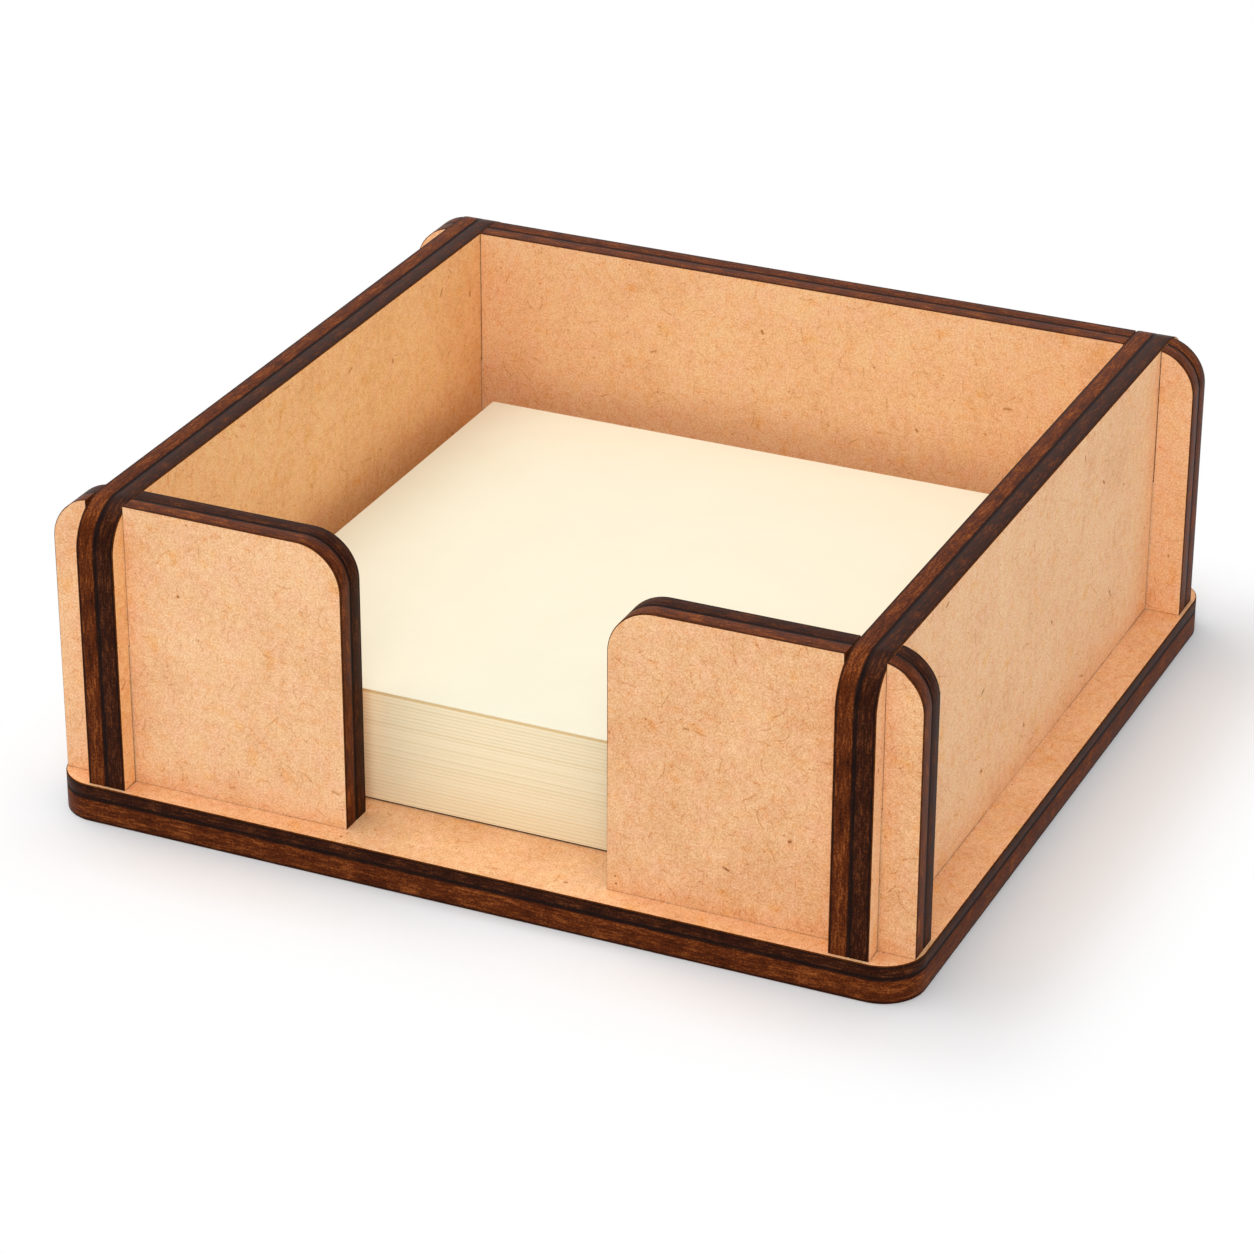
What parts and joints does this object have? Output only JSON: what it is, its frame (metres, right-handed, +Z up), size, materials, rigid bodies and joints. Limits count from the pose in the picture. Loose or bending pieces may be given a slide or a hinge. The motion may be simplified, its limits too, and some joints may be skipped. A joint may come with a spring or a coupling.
{
  "type": "memo holder",
  "caption": "Open desk tray of interlocking boards with rounded corners and a finger gap at the front, holding a stack of loose square memo sheets that lift out.",
  "frame": {"origin": "middle of the base plate's underside, on the table", "axes": "+Z up, -Y towards the front with the finger gap, +X to the right seen from the front"},
  "size_m": [0.1352, 0.1324, 0.0504],
  "materials": {
    "fibreboard": "raw fibreboard faces with scorched dark brown cut edges",
    "memo_paper": "smooth uncoated cream paper"
  },
  "bodies": {
    "holder": {"base_plate": "fibreboard", "left_side_panel": "fibreboard", "right_side_panel": "fibreboard", "back_panel": "fibreboard", "front_left_panel": "fibreboard", "front_right_panel": "fibreboard"},
    "memo_stack": {"memo_stack": "memo_paper"},
    "memo_top_sheet": {"memo_top_sheet": "memo_paper"}
  },
  "joints": [
    {"name": "memo_stack_lift", "type": "slide", "parent": "holder", "child": "memo_stack", "axis": [0, 0, 1], "range_m": [0, 0.06]},
    {"name": "memo_top_sheet_lift", "type": "slide", "parent": "memo_stack", "child": "memo_top_sheet", "axis": [0, 0, 1], "range_m": [0, 0.06]}
  ]
}
